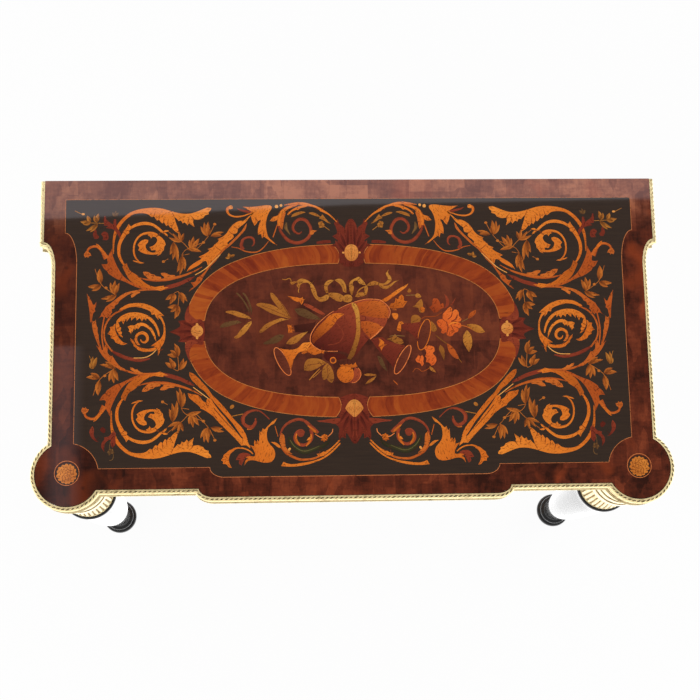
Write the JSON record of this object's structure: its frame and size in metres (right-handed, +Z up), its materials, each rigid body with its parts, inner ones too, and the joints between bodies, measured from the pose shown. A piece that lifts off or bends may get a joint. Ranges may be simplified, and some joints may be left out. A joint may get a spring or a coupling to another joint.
{
  "type": "games table",
  "caption": "Fold-over games table with a swivelling marquetry top, gilt edge mouldings, a lined card well and four turned tapering legs.",
  "frame": {"origin": "on the floor under the middle of the whole table's outline, top shut", "axes": "+X to the right along the long side, +Y to the back where the leaves are hinged, +Z up"},
  "size_m": [0.9036, 0.4784, 0.765],
  "materials": {
    "burr": "polished burr veneer",
    "black_wood": "polished ebonised wood",
    "band_wood": "polished cross-banded veneer",
    "medallion_wood": "polished burr veneer",
    "light_wood": "polished light veneer",
    "oak": "planed",
    "gilt": "gilded and burnished",
    "brass": "satin",
    "steel": "turned",
    "baize": "napped cloth",
    "lining": "plain woven lining"
  },
  "bodies": {
    "frame": {"leg_fl": "black_wood", "collar_fl": "gilt", "neck_ring_fl": "gilt", "drum_fl": "burr", "leg_fr": "black_wood", "collar_fr": "gilt", "neck_ring_fr": "gilt", "drum_fr": "burr", "leg_bl": "black_wood", "collar_bl": "gilt", "neck_ring_bl": "gilt", "drum_bl": "burr", "leg_br": "black_wood", "collar_br": "gilt", "neck_ring_br": "gilt", "drum_br": "burr", "front_rail": "burr", "back_rail": "burr", "left_rail": "burr", "right_rail": "burr", "well_floor": "oak", "partition": "oak", "pivot_rail": "oak", "well_lining": "lining", "pivot_plate": "brass", "pivot_washer": "steel"},
    "lower_leaf": {"lower_panel": "burr", "lower_baize": "baize", "pivot_spindle": "steel", "pivot_nut": "steel", "lower_moulding_side_r": "gilt", "lower_moulding_turret_r": "gilt", "lower_moulding_front": "gilt", "lower_moulding_turret_l": "gilt", "lower_moulding_side_l": "gilt", "hinge_lower_l": "brass", "hinge_pin_l": "steel", "hinge_lower_r": "brass", "hinge_pin_r": "steel"},
    "upper_leaf": {"upper_panel": "black_wood", "upper_baize": "baize", "veneer_border": "burr", "veneer_field": "black_wood", "veneer_band": "band_wood", "veneer_medallion": "medallion_wood", "veneer_roundel_l": "light_wood", "veneer_roundel_r": "light_wood", "upper_moulding_side_r": "gilt", "upper_moulding_turret_r": "gilt", "upper_moulding_front": "gilt", "upper_moulding_turret_l": "gilt", "upper_moulding_side_l": "gilt", "hinge_upper_l": "brass", "hinge_upper_r": "brass"}
  },
  "joints": [
    {"name": "top_swivel", "type": "hinge", "parent": "frame", "child": "lower_leaf", "pos_m": [0.117, 0.119, 0.7275], "axis": [0, 0, 1], "range_deg": [0, 90]},
    {"name": "leaf_fold", "type": "hinge", "parent": "lower_leaf", "child": "upper_leaf", "pos_m": [0, 0.236, 0.74625], "axis": [-1, 0, 0], "range_deg": [0, 180]}
  ]
}
